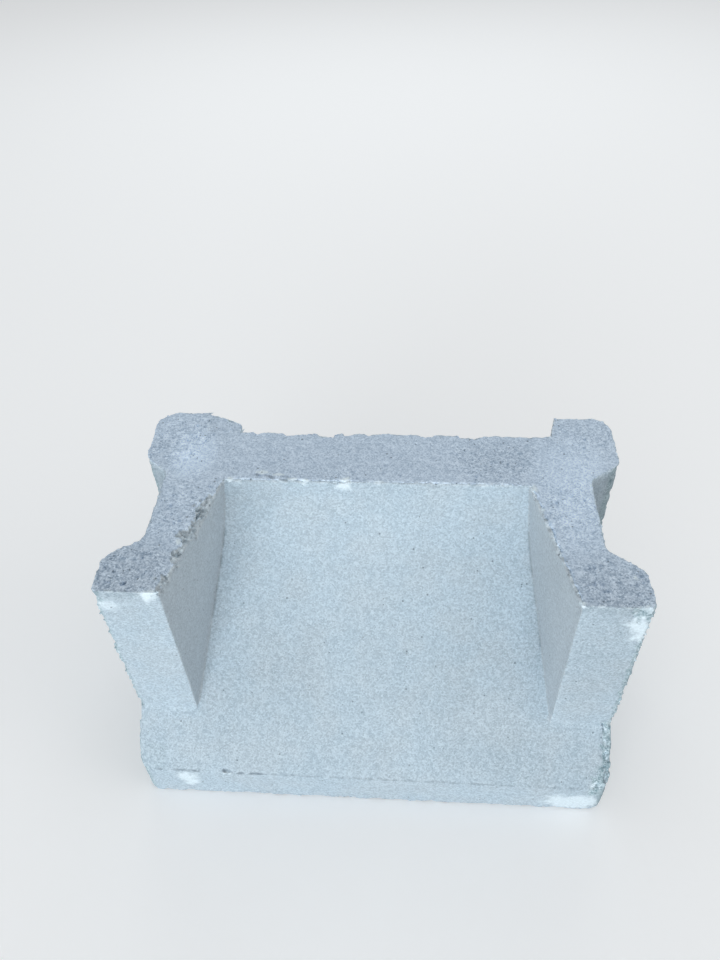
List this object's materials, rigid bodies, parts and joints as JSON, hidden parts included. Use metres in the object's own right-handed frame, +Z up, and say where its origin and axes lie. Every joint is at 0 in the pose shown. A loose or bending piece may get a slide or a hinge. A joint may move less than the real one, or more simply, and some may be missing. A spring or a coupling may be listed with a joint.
{
  "type": "concrete louvre block",
  "caption": "Concrete louvre ventilation block: two keyed cheeks joined by a sloping curved shelf that ends in a projecting sill, hollow beneath.",
  "frame": {"origin": "centre of the overall length and depth, at the level of the bottom bed", "axes": "+X along the block's length, +Y to its rear, away from the sill, +Z up to the top bed"},
  "size_m": [0.254, 0.1524, 0.1524],
  "materials": {
    "concrete": "matt pale grey cast concrete: fine sandy faces, rougher struck top with open pores"
  },
  "bodies": {
    "root": {"louvre_block": "concrete"}
  },
  "joints": []
}
